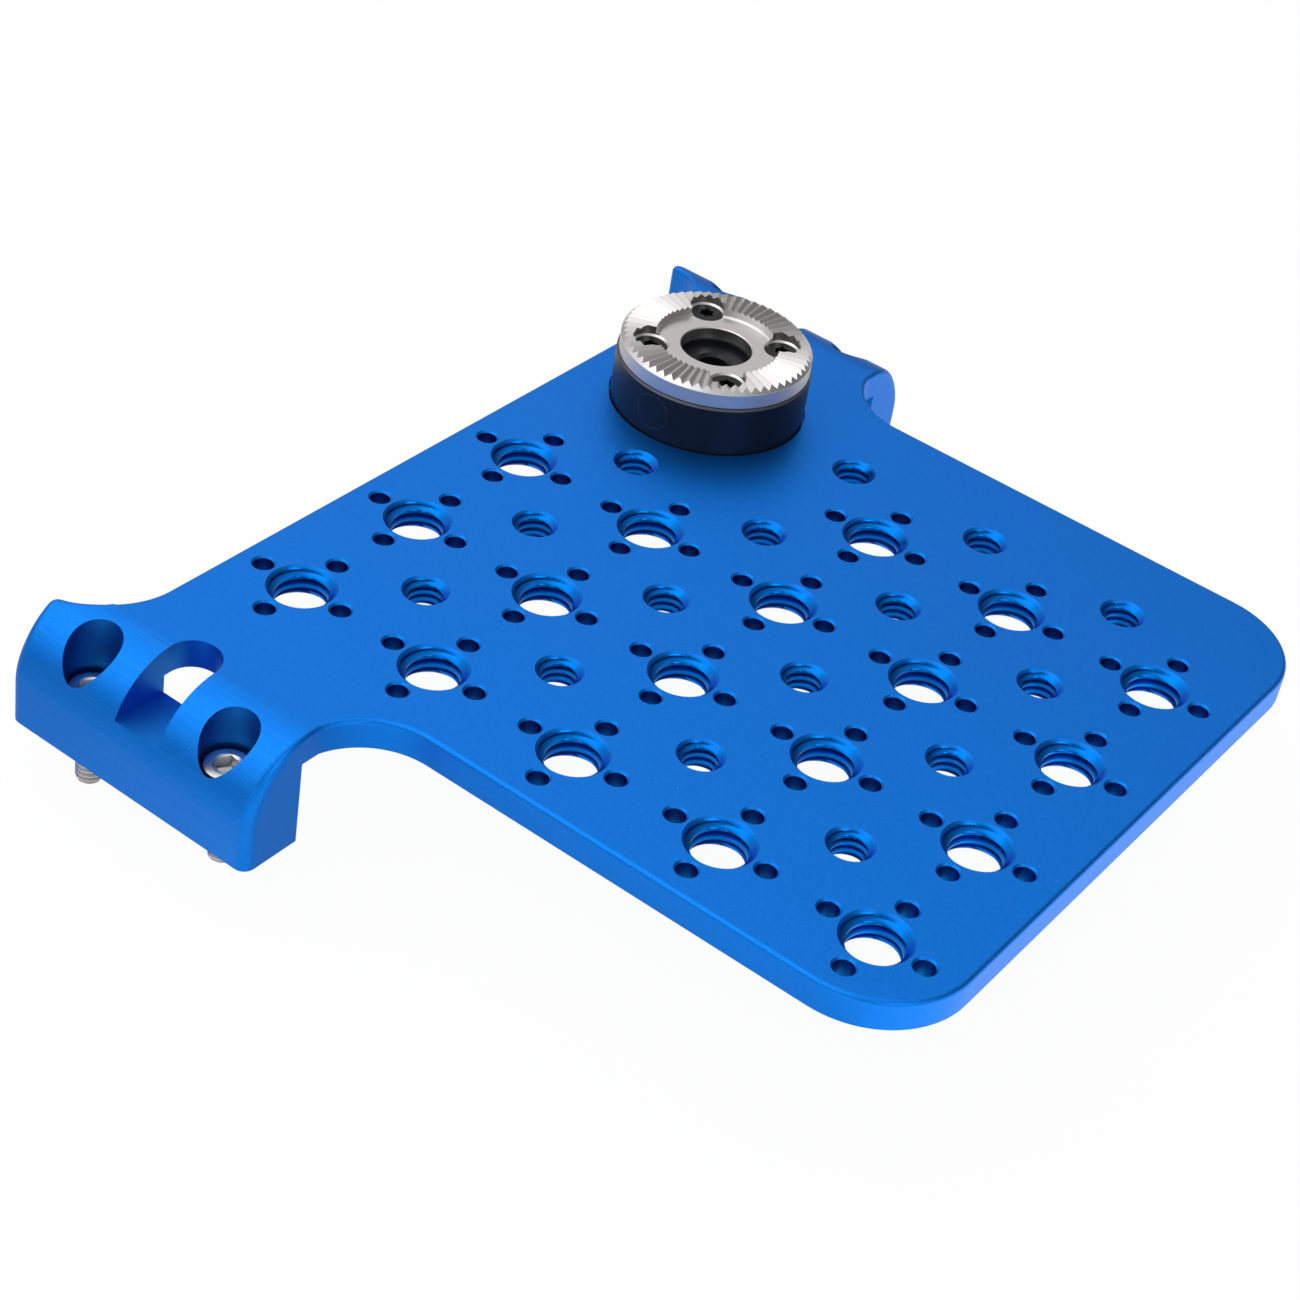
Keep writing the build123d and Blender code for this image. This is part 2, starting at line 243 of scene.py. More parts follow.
CUSP_Y = NECK_LEFT_Y + sqrt((NECK + CUSP) ** 2 - (CUSP_X - NECK_LEFT_X) ** 2)
CUSP_START = NECK_LEFT_Y + (CUSP_Y - NECK_LEFT_Y) * NECK / (NECK + CUSP)
RIM_ROUND = 0.75
END_ROUND = 1.85
ROUND_GROWTH = 0.7
ROUND_STEPS = 6
MIDDLE_STEP = 20.0


def skin_point(s):
    """Where the skin is at s along its bend: y, z and the outward direction there."""
    if s <= SHOULDER_START:
        return s, TOP, 0.0, 1.0
    if s <= SHOULDER_START + SHOULDER_LENGTH:
        a = (s - SHOULDER_START) / SHOULDER
        return SHOULDER_START + SHOULDER * sin(a), TOP - SHOULDER + SHOULDER * cos(a), sin(a), cos(a)
    return FOOT_OUTER, TOP - SHOULDER - (s - SHOULDER_START - SHOULDER_LENGTH), 1.0, 0.0


def skin_distance(y):
    """How far along its bend the skin reaches this y."""
    return y if y <= SHOULDER_START else SHOULDER_START + SHOULDER * asin((y - SHOULDER_START) / SHOULDER)


def left_edge(y):
    """The x of the foot's left side: the neck's arc, a rounded corner, then straight."""
    if y < CUSP_START:
        return NECK_LEFT_X + sqrt(NECK**2 - (y - NECK_LEFT_Y) ** 2)
    if y < CUSP_Y:
        return CUSP_X - sqrt(CUSP**2 - (CUSP_Y - y) ** 2)
    return FOOT_LEFT


def edge_round(s):
    """The radius of the skin's rounded edge, which grows from the rim to the foot's corner."""
    t = min(max((s - SHOULDER_START) / SHOULDER_LENGTH / ROUND_GROWTH, 0.0), 1.0)
    return RIM_ROUND + (END_ROUND - RIM_ROUND) * t * t * (3 - 2 * t)


def arc_points(cx, cy, r, start, end, steps):
    """Points on an arc, from one angle to another, in degrees."""
    turns = [radians(start + (end - start) * k / steps) for k in range(steps + 1)]
    return [(cx + r * cos(a), cy + r * sin(a)) for a in turns]


def half_outline():
    """The plate's edge from its right middle round one foot to its left middle, as x and s."""
    round_end = skin_distance(CUSP_Y)
    rows = [round_end + (SHOULDER_START + SHOULDER_LENGTH - round_end) * k / 20 for k in range(21)]
    rows += [skin_distance(CUSP_Y - CUSP * sin(radians(a))) for a in (11, 22, 33, 44, 55, 65)]
    first = asin((SHOULDER_START - NECK_LEFT_Y) / NECK)
    last = asin((CUSP_START - NECK_LEFT_Y) / NECK)
    on_neck = [NECK_LEFT_Y + NECK * sin(first + (last - first) * k / 10) for k in range(11)]
    rows += [skin_distance(y) for y in on_neck] + [skin_distance(FOOT_INNER)]
    rows = sorted(rows) + [SKIN_END]
    right_drop = sqrt(NECK**2 - (NECK_RIGHT_X - FOOT_RIGHT) ** 2)
    right_end = atan2(-right_drop, FOOT_RIGHT - NECK_RIGHT_X) * 180 / pi
    right = [(PLATE_RIGHT, MIDDLE_STEP * k) for k in range(3)]
    right += arc_points(PLATE_RIGHT - CORNER, HALF_DEPTH - CORNER, CORNER, 0, 90, 24)
    right += arc_points(NECK_RIGHT_X, NECK_RIGHT_Y, NECK, -90, right_end, 20)
    right += [(FOOT_RIGHT, s) for s in rows]
    left = [(left_edge(skin_point(s)[0]), s) for s in rows]
    start = atan2(SHOULDER_START - NECK_LEFT_Y, left[0][0] - NECK_LEFT_X) * 180 / pi
    upper = arc_points(NECK_LEFT_X, NECK_LEFT_Y, NECK, start, 0, 14)[1:]
    left = left[::-1] + upper + [(PLATE_LEFT, MIDDLE_STEP * k) for k in (2, 1, 0)]
    return right, left


def inward(points, k):
    """The direction into the plate at one point of an open run of the edge."""
    a = points[max(k - 1, 0)]
    b = points[min(k + 1, len(points) - 1)]
    dx, ds = b[0] - a[0], b[1] - a[1]
    length = sqrt(dx * dx + ds * ds)
    return -ds / length, dx / length


def plate_block():
    """The plate with its feet, closed, before anything is cut into it."""
    bm = bmesh.new()
    right, left = half_outline()
    halves = []
    for side in (-1, 1):
        runs = []
        for points in (right, left):
            rings = []
            for k, (x, s) in enumerate(points):
                nx, ns = inward(points, k)
                if s > skin_distance(CUSP_Y):
                    nx, ns = (-1 if points is right else 1), 0.0
                if k in (0, len(points) - 1):
                    ns = 0.0
                radius = edge_round(s)
                column = []
                for step in range(ROUND_STEPS + 1):
                    a = pi / 2 * step / ROUND_STEPS
                    inset, depth = radius * (1 - cos(a)), radius * (1 - sin(a))
                    along = s + ns * inset
                    if s <= SHOULDER_START:
                        along = min(along, SHOULDER_START)
                    y, z, ny, nz = skin_point(along)
                    place = Vector((x + nx * inset, side * (y - depth * ny), z - depth * nz)) * MM
                    column.append(bm.verts.new(place))
                rings.append(column)
            runs.append((points, rings))
        halves.append((side, runs))
    under_loops = {}
    for side, ((right_points, right_rings), (left_points, left_rings)) in halves:
        first = next(k for k, p in enumerate(right_points) if p[1] >= SHOULDER_START - 1e-6)
        last = len(right_points) - 1
        for points, rings in ((right_points, right_rings), (left_points, left_rings)):
            for a, b in zip(rings, rings[1:]):
                for k in range(ROUND_STEPS):
                    bm.faces.new((a[k], b[k], b[k + 1], a[k + 1]))
        # Across the shoulder and down the end
        for k in range(first, last):
            m = last - k
            across = (right_rings[k], right_rings[k + 1], left_rings[m - 1], left_rings[m])
            bm.faces.new([column[-1] for column in across])
        # The walls below the rounded edge, down to the underside or the foot's sole
        sole, under = [], []
        for points, rings in ((right_points, right_rings), (left_points, left_rings)):
            down = []
            for (x, s), column in zip(points, rings):
                y = abs(column[0].co.y) / MM
                here = column[0].co
                low = {}
                if s < SKIN_END:
                    if skin_point(s)[0] <= FOOT_INNER + 0.01:
                        low["under"] = bm.verts.new((here.x, here.y, UNDERSIDE * MM))
                    if skin_point(s)[0] >= FOOT_INNER - 0.01:
                        end = s > SHOULDER_START + SHOULDER_LENGTH - 1e-6
                        if end:
                            neighbour = rings[-1] if points is right_points else rings[0]
                            low["sole"] = neighbour[0]
                        else:
                            low["sole"] = bm.verts.new((here.x, here.y, 0.0))
                down.append(low)
            for k in range(len(points) - 1):
                for kind in ("under", "sole"):
                    a, b = down[k].get(kind), down[k + 1].get(kind)
                    if a and b:
                        bm.faces.new((rings[k][0], rings[k + 1][0], b, a))
            sole.append([low["sole"] for low in down if "sole" in low])
            under.append([low["under"] for low in down if "under" in low])
        end_round = right_rings[last][1:] + left_rings[0][::-1][:-1]
        bm.faces.new(sole[0] + end_round + sole[1])
        bm.faces.new((sole[0][0], sole[1][-1], under[1][0], under[0][-1]))
        under_loops[side] = (under[0], under[1])
    near, far = under_loops[-1], under_loops[1]
    bm.faces.new(near[0] + near[1] + far[1][::-1] + far[0][::-1])
    flat = []
    for side, ((right_points, right_rings), (left_points, left_rings)) in halves:
        first = next(k for k, p in enumerate(right_points) if p[1] >= SHOULDER_START - 1e-6)
        kept = len(left_points) - (len(right_points) - 1 - first)
        run = [c[-1] for c in right_rings[: first + 1]] + [c[-1] for c in left_rings[-kept:]]
        flat.append(run)
    bm.faces.new(flat[0] + flat[1][::-1])
    bmesh.ops.remove_doubles(bm, verts=bm.verts, dist=1e-7)
    bmesh.ops.recalc_face_normals(bm, faces=bm.faces)
    return bm


def prism(bm, loop, low, high):
    """An upright solid with the given plan, for cutting with."""
    bottom = [bm.verts.new((x * MM, y * MM, low * MM)) for x, y in loop]
    top = [bm.verts.new((x * MM, y * MM, high * MM)) for x, y in loop]
    bm.faces.new(bottom[::-1])
    bm.faces.new(top)
    for k in range(len(loop)):
        n = (k + 1) % len(loop)
        bm.faces.new((bottom[k], bottom[n], top[n], top[k]))


def mesh_object(name, bm):
    """A new object from a finished bmesh, at the origin."""
    mesh = bpy.data.meshes.new(name)
    bm.to_mesh(mesh)
    bm.free()
    obj = bpy.data.objects.new(name, mesh)
    bpy.context.collection.objects.link(obj)
    return obj


def evaluated(obj):
    """The object's mesh with its modifiers applied, as a new mesh."""
    bpy.context.view_layer.update()
    graph = bpy.context.evaluated_depsgraph_get()
    return bpy.data.meshes.new_from_object(obj.evaluated_get(graph), depsgraph=graph)


SLOT_WIDTH = 8.3
SLOT_INNER_END = 65.97
SLOT_FLOOR = 10.95
SCREW_X = 13.17
SCREW_Y = 76.32
SCREW_SEAT = 5.15
BORE = 4.15
SCREW_HOLE = 2.153
EDGE_BREAK = 0.14
BREAK_ANGLE = 38.0
BREAK_HALF_WIDTH = 18.5
BREAK_INNER_END = 65.0
BREAK_LOWEST = 6.0

plate = mesh_object("side_plate_milled", plate_block())
cutters = bmesh.new()
for side in (-1, 1):
    centre = side * (SLOT_INNER_END + SLOT_WIDTH / 2)
    outside = side * (FOOT_OUTER + 5)
    loop = [(SLOT_WIDTH / 2, outside), (-SLOT_WIDTH / 2, outside)]
    loop += arc_points(0, centre, SLOT_WIDTH / 2, 180, 180 + 180 * side, 32)
    prism(cutters, loop, SLOT_FLOOR, TOP + 5)
    for sx in (-1, 1):
        x, y = sx * SCREW_X, side * SCREW_Y
        prism(cutters, arc_points(x, y, BORE, 0, 352.5, 47), SCREW_SEAT, TOP + 5)
        prism(cutters, arc_points(x, y, SCREW_HOLE, 0, 348.75, 31), -5, SCREW_SEAT + 1)
bmesh.ops.recalc_face_normals(cutters, faces=cutters.faces)
cutter = mesh_object("foot_cutters", cutters)
cut = plate.modifiers.new("feet", "BOOLEAN")
cut.operation = "DIFFERENCE"
cut.solver = "EXACT"
cut.use_self = True
cut.object = cutter
cut_mesh = evaluated(plate)
plate.modifiers.clear()
plate.data = cut_mesh
bpy.data.objects.remove(cutter)

bm = bmesh.new()
bm.from_mesh(plate.data)
bmesh.ops.remove_doubles(bm, verts=bm.verts, dist=2e-6)
cut_edges = [
    e
    for e in bm.edges
    if len(e.link_faces) == 2
    and e.calc_face_angle() > radians(BREAK_ANGLE)
    and all(abs(v.co.x) < BREAK_HALF_WIDTH * MM for v in e.verts)
    and all(abs(v.co.y) > BREAK_INNER_END * MM for v in e.verts)
    and all(v.co.z > BREAK_LOWEST * MM for v in e.verts)
    and max(abs(v.co.y) for v in e.verts) < (FOOT_OUTER + 0.01) * MM
]
bmesh.ops.bevel(
    bm,
    geom=cut_edges,
    offset=EDGE_BREAK * MM,
    offset_type="OFFSET",
    segments=2,
    profile=0.5,
    affect="EDGES",
    clamp_overlap=True,
)
bm.to_mesh(plate.data)
bm.free()

# The holes in the plate: threads on a one inch grid, smaller threads between them, and four
# plain locating holes round each large one. A tree cuts the helix of each thread in the wall.
GRID = 25.4
FIRST_X = -1.54
FIRST_Y = -46.72
PIN_OFFSET = 7.62
PIN_RADIUS = 1.56
PIN_MOUTH = 1.86
PIN_MOUTH_DEPTH = 0.3
LARGE = {"Crest": 4.0, "Depth": 0.78, "Pitch": 1.5875, "Mouth": 5.3, "Lower Mouth": 4.78}
SMALL = {"Crest": 2.6, "Depth": 0.55, "Pitch": 1.27, "Mouth": 3.6, "Lower Mouth": 3.16}
THICKNESS = TOP - UNDERSIDE
THREAD_STEPS = 8
CREST_SHARE = 0.25
FLANK_SLOPE = 2.0
SEAM_SHIFT = 0.0005

large_holes = [
    (FIRST_X + GRID * i, FIRST_Y + GRID * j) for j in range(4) for i in range(5) if j < 3 or i > 1
]
small_holes = [
    (FIRST_X + GRID * (i + 0.5), FIRST_Y + GRID * (j + 0.5))
    for j in range(4)
    for i in range(4)
    if j < 3 or i > 0
]
pin_holes = [
    (x + dx * PIN_OFFSET, y + dy * PIN_OFFSET)
    for x, y in large_holes
    for dx, dy in ((1, 0), (-1, 0), (0, 1), (0, -1))
]


def thread_tree():
    """Winds one V thread at each point that it is given, down from it: in a hole's wall where
    Side is 1, on a shank where it is -1. Its rows follow the helix, so its crest stays sharp,
    and each end runs out in a cone."""
    tree = bpy.data.node_groups.new("thread", "GeometryNodeTree")
    face = tree.interface
    face.new_socket("Geometry", in_out="INPUT", socket_type="NodeSocketGeometry")
    for name in ("Crest", "Depth", "Pitch", "Mouth", "Lower Mouth", "Height", "Side"):
        face.new_socket(name, in_out="INPUT", socket_type="NodeSocketFloat")
    for name in ("Around", "Steps", "Turns"):
        face.new_socket(name, in_out="INPUT", socket_type="NodeSocketInt")
    face.new_socket("Finish", in_out="INPUT", socket_type="NodeSocketMaterial")
    face.new_socket("Geometry", in_out="OUTPUT", socket_type="NodeSocketGeometry")
    given = tree.nodes.new("NodeGroupInput")
    inputs = {s.name: Value(tree, s) for s in given.outputs if s.name}
    side = inputs["Side"]
    rows = inputs["Steps"] * inputs["Turns"] + 1
    sockets = {"Size X": 1.0, "Size Y": 1.0, "Vertices X": inputs["Around"] + 1, "Vertices Y": rows}
    sheet = add_node(tree, "GeometryNodeMeshGrid", None, sockets)
    place = add_node(tree, "GeometryNodeInputPosition")
    apart = add_node(tree, "ShaderNodeSeparateXYZ", None, [place])
    round_share = apart + 0.5
    turn = (0.5 - Value(tree, apart.socket.node.outputs[1])) * inputs["Turns"]
    wound_depth = (turn + round_share - 1) * inputs["Pitch"]
    depth = wound_depth.sum("MAXIMUM", 0.0).sum("MINIMUM", inputs["Height"])
    wave = ((turn + SEAM_SHIFT).sum("FRACT") * 2 - 1).sum("ABSOLUTE")
    groove = ((wave - CREST_SHARE) * FLANK_SLOPE).sum("MAXIMUM", 0.0).sum("MINIMUM", 1.0)
    wall = (inputs["Crest"] + inputs["Depth"] * groove * side) * side
    upper = inputs["Mouth"] * side - depth
    lower = inputs["Lower Mouth"] * side - (inputs["Height"] - depth)
    radius = wall.sum("MAXIMUM", upper).sum("MAXIMUM", lower) * side
    angle = round_share * (2 * pi)
    x = radius * angle.sum("COSINE")
    y = radius * angle.sum("SINE")
    point = add_node(tree, "ShaderNodeCombineXYZ", None, [x, y, 0 - depth])
    wound = add_node(tree, "GeometryNodeSetPosition", None, {"Geometry": sheet, "Position": point})
    closed = add_node(tree, "GeometryNodeMergeByDistance", None, {"Geometry": wound, "Distance": 1e-7})
    points = add_node(tree, "GeometryNodeMeshToPoints", None, {"Mesh": inputs["Geometry"]})
    placed = add_node(tree, "GeometryNodeInstanceOnPoints", None, {"Points": points, "Instance": closed})
    real = add_node(tree, "GeometryNodeRealizeInstances", None, {"Geometry": placed})
    dressing = {"Geometry": real, "Material": inputs["Finish"]}
    done = add_node(tree, "GeometryNodeSetMaterial", None, dressing)
    result = tree.nodes.new("NodeGroupOutput")
    tree.links.new(done.socket, result.inputs[0])
    return tree


threads = thread_tree()


def thread_mesh(places, sizes, finish):
    """The thread's wall at each place, in metres, from sizes in millimetres."""
    base = bpy.data.meshes.new("thread_places")
    base.from_pydata([Vector(p) * MM for p in places], [], [])
    obj = bpy.data.objects.new("thread_places", base)
    bpy.context.collection.objects.link(obj)
    winding = obj.modifiers.new("thread", "NODES")
    winding.node_group = threads
    names = {i.name: i for i in threads.interface.items_tree if i.in_out == "INPUT"}
    for name, value in sizes.items():
        metric = name not in ("Around", "Steps", "Turns", "Side")
        winding[names[name].identifier] = value * MM if metric else value
    winding[names["Finish"].identifier] = finish
    mesh = evaluated(obj)
    bpy.data.objects.remove(obj)
    return mesh


def ring(bm, x, y, z, r, around):
    """A circle of corners, in millimetres."""
    turns = [2 * pi * k / around for k in range(around)]
    return [bm.verts.new(((x + r * cos(a)) * MM, (y + r * sin(a)) * MM, z * MM)) for a in turns]


def skin(bm, rings, close_end=False):
    """Faces between rings of corners, with a flat end where asked."""
    for a, b in zip(rings, rings[1:]):
        for k in range(len(a)):
            n = (k + 1) % len(a)
            bm.faces.new((a[k], a[n], b[n], b[k]))
    if close_end:
        bm.faces.new(rings[-1])


def fill_level(bm, level):
    """Fills a flat level between its outline and the round holes in it, with triangles."""
    rims = [
        e
        for e in bm.edges
        if len(e.link_faces) == 1 and all(abs(v.co.z - level * MM) < 1e-6 for v in e.verts)
    ]
    next_to = {}
    for e in rims:
        for a, b in (e.verts, reversed(e.verts)):
            next_to.setdefault(a, []).append(b)
    loop_of = {}
    for number, corner in enumerate(next_to):
        waiting = [corner] if corner not in loop_of else []
        while waiting:
            here = waiting.pop()
            if here not in loop_of:
                loop_of[here] = number
                waiting += next_to[here]
    corners = list(next_to)
    index = {corner: k for k, corner in enumerate(corners)}
    outline = loop_of[min(corners, key=lambda v: v.co.x)]
    flat = [Vector((v.co.x, v.co.y)) / MM for v in corners]
    pairs = [tuple(index[v] for v in e.verts) for e in rims]
    filled = delaunay_2d_cdt(flat, pairs, [], 1, 1e-5)
    for triangle in filled[2]:
        found = [corners[filled[3][k][0]] for k in triangle]
        loops = {loop_of[v] for v in found}
        if len(loops) > 1 or outline in loops:
            bm.faces.new(found)


blue, tree, shader = new_finish("blue_anodised")
place = object_place(tree)
grain = cloud(tree, place, 5200.0, 3.0)
patches = cloud(tree, place, 45.0)
cuts = cloud(tree, object_place(tree, (60, 5200, 5200)), 1.0, 2.0)
across = add_node(tree, "ShaderNodeSeparateXYZ", None, [object_place(tree)])
along = Value(tree, across.socket.node.outputs[1])
up = Value(tree, across.socket.node.outputs[2])
on_shoulder = (along.sum("ABSOLUTE") > (SHOULDER_START - 0.09) * MM) * 0.6
relief = grain * 0.7 + cuts * on_shoulder
bump = add_node(tree, "ShaderNodeBump", None, {"Strength": 0.25, "Distance": 0.00004, "Height": relief})


def blend(tree, share, first, second):
    """One colour growing into another."""
    return add_node(tree, "ShaderNodeMix", {"data_type": "RGBA"}, {0: share, 6: first, 7: second}, out=2)


def reach(tree, first, second):
    """How far off a point is, from its two offsets."""
    return (first * first + second * second).sum("SQRT")


DYE = (0.0050, 0.207, 0.785, 1)
DYE_PATCH = (0.0070, 0.198, 0.752, 1)
# Painted highlight: the lighter blue of the glints in the grain and the shoulders' cutter lines
PAINTED_GLINT = (0.04, 0.34, 1.0, 1)
# Painted shade: the darker blues of the slots and bores, the holes, the threads' grooves and the locating
# holes
FOOT_CUT_SHADE = (0.0120, 0.190, 0.660, 1)
HOLE_SHADE = (0.0020, 0.180, 0.690, 1)
GROOVE_SHADE = (0.0015, 0.060, 0.240, 1)
PIN_SHADE = (0.0020, 0.110, 0.370, 1)
SPECK = (0.30, 0.46, 0.75, 1)
# How much of the grooves' painted shade is laid on
GROOVE_SHADE_AMOUNT = 0.85
MASK_LAP = 0.05

# One even dye, a little patchy, with fine grain; the grain, and the cutter's fine lines on the shoulders,
# are painted lighter as glints, a painted highlight
tone = blend(tree, patches, DYE, DYE_PATCH)
tone = blend(tree, (grain - 0.5) * 1.4 + (cuts - 0.5) * on_shoulder * 1.5, tone, PAINTED_GLINT)
# Painted shade: the holes, bores and slots are painted darker, and the threads' grooves darkest
from_middle = (across - (PLATE_LEFT + PLATE_RIGHT) / 2 * MM).sum("ABSOLUTE")
corner_x = (from_middle - ((PLATE_RIGHT - PLATE_LEFT) / 2 - CORNER) * MM).sum("MAXIMUM", 0.0)
corner_y = (along.sum("ABSOLUTE") - (HALF_DEPTH - CORNER) * MM).sum("MAXIMUM", 0.0)
between = (((TOP - 0.32) * MM - up) > 0.0) * (up > (UNDERSIDE + 0.2) * MM)
inside = (((CORNER - 0.6) * MM - reach(tree, corner_x, corner_y)) > 0.0) * between
before_end = ((SLOT_INNER_END + SLOT_WIDTH / 2) * MM - along.sum("ABSOLUTE")).sum("MAXIMUM", 0.0)
slot = ((SLOT_WIDTH / 2 + 0.04) * MM - reach(tree, across, before_end)) > 0.0
slot = slot * (along.sum("ABSOLUTE") > (SLOT_INNER_END - 0.07) * MM) * (up > (SLOT_FLOOR - MASK_LAP) * MM)
from_screw = reach(tree, across.sum("ABSOLUTE") - SCREW_X * MM, along.sum("ABSOLUTE") - SCREW_Y * MM)
bores = (((BORE + MASK_LAP) * MM - from_screw) > 0.0) * (up > (SCREW_SEAT - MASK_LAP) * MM)
# Painted shade in the slots and the screw bores
tone = blend(tree, slot.sum("MAXIMUM", bores), tone, FOOT_CUT_SHADE)
# Painted shade inside the holes of the grid
tone = blend(tree, inside, tone, HOLE_SHADE)


def off_grid(start):
    """How far a point is from the nearest hole of a grid with this start, along x and y."""
    return [
        (axis - (first + start) * MM).sum("WRAP", GRID / 2 * MM, -GRID / 2 * MM)
        for axis, first in ((across, FIRST_X), (along, FIRST_Y))
    ]


def groove_share(start, sizes):
    """How deep in a thread's groove a point is, from nought at the crest to one."""
    crest, depth = sizes["Crest"], sizes["Depth"]
    r = reach(tree, *off_grid(start))
    in_wall = (crest + depth + 0.2) * MM - r > 0.0
    below_mouth = r - up > (sizes["Mouth"] - TOP + 0.06) * MM
    return ((r - crest * MM) / (depth * MM)) * (in_wall * below_mouth)


grooves = groove_share(0.0, LARGE).sum("MAXIMUM", groove_share(GRID / 2, SMALL))
# Painted shade, darkest deep in the threads' grooves
tone = blend(tree, grooves * inside * GROOVE_SHADE_AMOUNT, tone, GROOVE_SHADE)
off_x, off_y = [offset.sum("ABSOLUTE") for offset in off_grid(0.0)]
from_pin = reach(tree, off_x.sum("MAXIMUM", off_y) - PIN_OFFSET * MM, off_x.sum("MINIMUM", off_y))
# Painted shade inside the locating holes
tone = blend(tree, (((PIN_RADIUS + 0.14) * MM - from_pin) > 0.0) * inside, tone, PIN_SHADE)
dots = add_node(tree, "ShaderNodeTexVoronoi", None, {"Vector": place, "Scale": 170.0})
tone = blend(tree, (0.016 - dots) * 80.0, tone, SPECK)
feed(tree, shader, {
    "Base Color": tone,
    "Metallic": 1.0,
    "Roughness": 0.41 + grain * 0.10 - inside * 0.16,
    "Normal": bump,
})

bm = bmesh.new()
bm.from_mesh(plate.data)
level_faces = [
    f
    for f in bm.faces
    if abs(f.normal.z) > 0.999
    and (
        all(abs(v.co.z - TOP * MM) < 1e-6 for v in f.verts)
        or all(abs(v.co.z - UNDERSIDE * MM) < 1e-6 for v in f.verts)
    )
]
bmesh.ops.delete(bm, geom=level_faces, context="FACES_ONLY")
LARGE_SIZES = {**LARGE, "Height": THICKNESS, "Side": 1.0, "Around": 48, "Steps": THREAD_STEPS, "Turns": 4}
SMALL_SIZES = {**SMALL, "Height": THICKNESS, "Side": 1.0, "Around": 40, "Steps": THREAD_STEPS, "Turns": 5}
bm.from_mesh(thread_mesh([(x, y, TOP) for x, y in large_holes], LARGE_SIZES, blue))
bm.from_mesh(thread_mesh([(x, y, TOP) for x, y in small_holes], SMALL_SIZES, blue))
PIN_WALL = [(TOP, PIN_MOUTH), (TOP - PIN_MOUTH_DEPTH, PIN_RADIUS), (UNDERSIDE, PIN_RADIUS)]
for x, y in pin_holes:
    skin(bm, [ring(bm, x, y, z, r, 24) for z, r in PIN_WALL])
ROSETTE_X = 7.73
ROSETTE_Y = 40.69
POCKET = 16.5
POCKET_FLOOR = TOP - 1.0
rims = [ring(bm, ROSETTE_X, ROSETTE_Y, z, POCKET, 96) for z in (TOP, POCKET_FLOOR)]
skin(bm, rims, close_end=True)
bmesh.ops.remove_doubles(bm, verts=bm.verts, dist=2e-7)
fill_level(bm, TOP)
fill_level(bm, UNDERSIDE)
bmesh.ops.recalc_face_normals(bm, faces=bm.faces)
bm.to_mesh(plate.data)
bm.free()


def finish_mesh(obj, finish, sharp=35.0):
    """Smooth faces with crisp corners, evened by face area, and one finish."""
    mesh = obj.data
    mesh.materials.clear()
    mesh.materials.append(finish)
    for polygon in mesh.polygons:
        polygon.use_smooth = True
        polygon.material_index = 0
    mesh.set_sharp_from_angle(angle=radians(sharp))
    even = obj.modifiers.new("even", "WEIGHTED_NORMAL")
    even.keep_sharp = True
    result = evaluated(obj)
    obj.modifiers.remove(even)
    obj.data = result


finish_mesh(plate, blue)
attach(plate, "plate")
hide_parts("side_plate")


def dress(name, finish):
    """Gives a CAD piece its finish."""
    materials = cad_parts[name].data.materials
    materials.clear()
    materials.append(finish)


# The rosette's spacer: turned aluminium, anodised black, with an M6 thread in its middle.
black, tree, shader = new_finish("black_anodised")
place = object_place(tree)
grain = cloud(tree, place, 5200.0, 3.0)
bump = add_node(tree, "ShaderNodeBump", None, {"Strength": 0.08, "Distance": 0.00004, "Height": grain})
# A faint round scuff on its side, and a painted highlight along its top edge
SCUFF_PLACE = (0.00762, 0.02449, 0.02327)
SCUFF_RADIUS = 0.0030
SCUFF_HALF_WIDTH = 1 / 12000.0
EDGE_HIGHLIGHT_START = 0.02688
EDGE_HIGHLIGHT_HEIGHT = 1 / 25000.0
distance = {"operation": "DISTANCE"}
from_scuff = add_node(tree, "ShaderNodeVectorMath", distance, [place, SCUFF_PLACE], out=1)
scuff = 1.0 - (from_scuff - SCUFF_RADIUS).sum("ABSOLUTE") / SCUFF_HALF_WIDTH
scuff = scuff.sum("MAXIMUM", 0.0) * cloud(tree, place, 500.0)
level = add_node(tree, "ShaderNodeSeparateXYZ", None, [place], out=2)
# Painted highlight: a lighter band along the top edge's chamfer
top_edge_highlight = ((level - EDGE_HIGHLIGHT_START) / EDGE_HIGHLIGHT_HEIGHT).sum("MAXIMUM", 0.0).sum("MINIMUM", 1.0)
scuff_and_highlight = scuff.sum("MAXIMUM", top_edge_highlight * 0.7)
feed(tree, shader, {
    "Base Color": blend(tree, scuff_and_highlight, (0.010, 0.011, 0.016, 1), (0.10, 0.11, 0.13, 1)),
    "Metallic": 0.35,
    "Roughness": 0.34 + grain * 0.08,
    "Normal": bump,
})
dress("rosette_spacer", black)

# The toothed ring: stainless steel, turned, with radial teeth ground across its face.
steel, tree, shader = new_finish("machined_steel")
place = object_place(tree)
grain = cloud(tree, place, 3800.0, 3.0)
bump = add_node(tree, "ShaderNodeBump", None, {"Strength": 0.10, "Distance": 0.00003, "Height": grain})
across = add_node(tree, "ShaderNodeSeparateXYZ", None, [place])
along = Value(tree, across.socket.node.outputs[1])
RING_RIM = 15.8
band = reach(tree, across - ROSETTE_X * MM, along - ROSETTE_Y * MM) > RING_RIM * MM
feed(tree, shader, {
    "Base Color": (0.70, 0.68, 0.665, 1),
    "Metallic": 1.0,
    "Roughness": 0.26 + grain * 0.08 + band * 0.22,
    "Normal": bump,
})
dress("rosette_ring", steel)

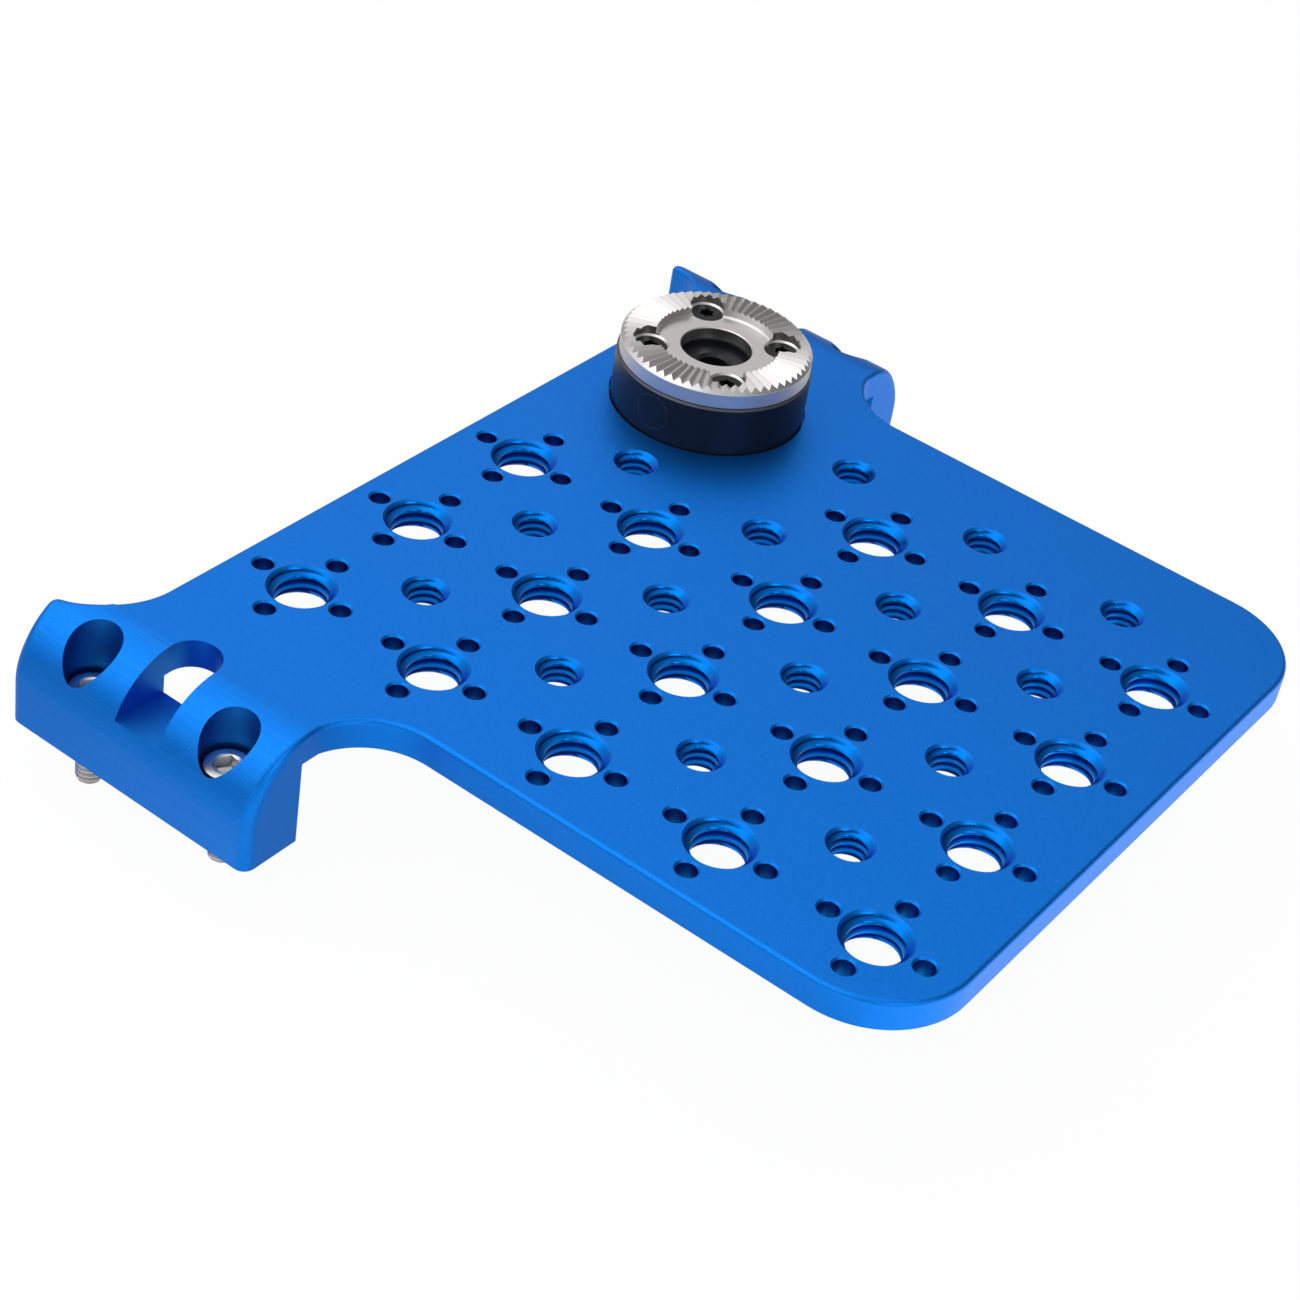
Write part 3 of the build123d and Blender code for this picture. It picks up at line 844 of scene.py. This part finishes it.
# The ring's four flat-head screws: black oxide steel, with star recesses.
oxide, tree, shader = new_finish("black_oxide")
place = object_place(tree)
grain = cloud(tree, place, 4500.0, 2.0)
feed(tree, shader, {
    "Base Color": (0.018, 0.018, 0.020, 1),
    "Metallic": 0.7,
    "Roughness": 0.28 + grain * 0.12,
})
for k in range(1, 5):
    dress(f"rosette_screw_{k}", oxide)

# The mounting screws: half inch socket cap screws of stainless steel, with rolled threads.
stainless, tree, shader = new_finish("stainless_steel")
place = object_place(tree)
grain = cloud(tree, place, 3000.0, 3.0)
feed(tree, shader, {
    "Base Color": (0.66, 0.64, 0.62, 1),
    "Metallic": 1.0,
    "Roughness": 0.26 + grain * 0.10,
})
SHANK = {"Crest": 2.083, "Depth": 0.483, "Pitch": 0.79375, "Mouth": 1.55, "Lower Mouth": 1.5}
HEAD_RADIUS = 3.43
HEAD_HEIGHT = 4.17
HEAD_FOOT_BREAK = 0.12
HEAD_TOP_ROUND = 0.3
HEAD_TOP_MIDDLE = 0.09
SCREW_LENGTH = 12.7
SOCKET = 3.57
SOCKET_DEPTH = 2.1
SOCKET_MOUTH = 2.15
SOCKET_CHAMFER = 35.0
SOCKET_POINT_DEPTH = 0.5
SOCKET_POINT_SHARE = 0.3
AROUND = 48
NECK_SPACE = 0.3
BACKED_OUT = {2: 2.05}


def in_turn(corners, x, y):
    """The corners of a loop in their order round its middle, which is given in millimetres."""
    return sorted(corners, key=lambda c: atan2(c.co.y - y * MM, c.co.x - x * MM) % (2 * pi))


for k, (sx, sy) in enumerate(((-1, -1), (1, -1), (-1, 1), (1, 1)), start=1):
    x, y = sx * SCREW_X, sy * SCREW_Y
    seat = SCREW_SEAT + BACKED_OUT.get(k, 0.0)
    screw_bm = bmesh.new()
    sizes = {**SHANK, "Height": SCREW_LENGTH - NECK_SPACE, "Side": -1.0}
    sizes = {**sizes, "Around": AROUND, "Steps": THREAD_STEPS, "Turns": 17}
    screw_bm.from_mesh(thread_mesh([(x, y, seat - NECK_SPACE)], sizes, stainless))
    bmesh.ops.remove_doubles(screw_bm, verts=screw_bm.verts, dist=1e-7)
    loops = {}
    for e in screw_bm.edges:
        if len(e.link_faces) == 1:
            loops.setdefault(round(e.verts[0].co.z / MM, 2), set()).update(e.verts)
    ends = sorted(loops.items())
    low_end, high_end = in_turn(ends[0][1], x, y), in_turn(ends[-1][1], x, y)
    screw_bm.faces.new(low_end)
    outer = [
        (seat, HEAD_RADIUS - HEAD_FOOT_BREAK),
        (seat + HEAD_FOOT_BREAK, HEAD_RADIUS),
        (seat + HEAD_HEIGHT - HEAD_TOP_ROUND, HEAD_RADIUS),
        (seat + HEAD_HEIGHT - HEAD_TOP_MIDDLE, HEAD_RADIUS - HEAD_TOP_MIDDLE),
        (seat + HEAD_HEIGHT, HEAD_RADIUS - HEAD_TOP_ROUND),
        (seat + HEAD_HEIGHT, SOCKET_MOUTH),
    ]
    head_rings = [high_end] + [ring(screw_bm, x, y, z, r, AROUND) for z, r in outer]
    point = (SOCKET_DEPTH + SOCKET_POINT_DEPTH, SOCKET_POINT_SHARE)
    for depth, share in ((None, 1.0), (SOCKET_DEPTH, 1.0), point):
        hexagon = []
        for step in range(AROUND):
            a = 2 * pi * step / AROUND
            wall = SOCKET / 2 / cos((a % (pi / 3)) - pi / 6) * share
            drop = depth
            if depth is None:
                drop = (SOCKET_MOUTH - wall) * tan(radians(SOCKET_CHAMFER))
            place = (x + wall * cos(a), y + wall * sin(a), seat + HEAD_HEIGHT - drop)
            hexagon.append(screw_bm.verts.new([v * MM for v in place]))
        head_rings.append(hexagon)
    skin(screw_bm, head_rings, close_end=True)
    bmesh.ops.recalc_face_normals(screw_bm, faces=screw_bm.faces)
    screw = mesh_object(f"foot_screw_{k}_threaded", screw_bm)
    finish_mesh(screw, stainless, 28.0)
    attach(screw, f"foot_screw_{k}")
    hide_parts(f"foot_screw_{k}")
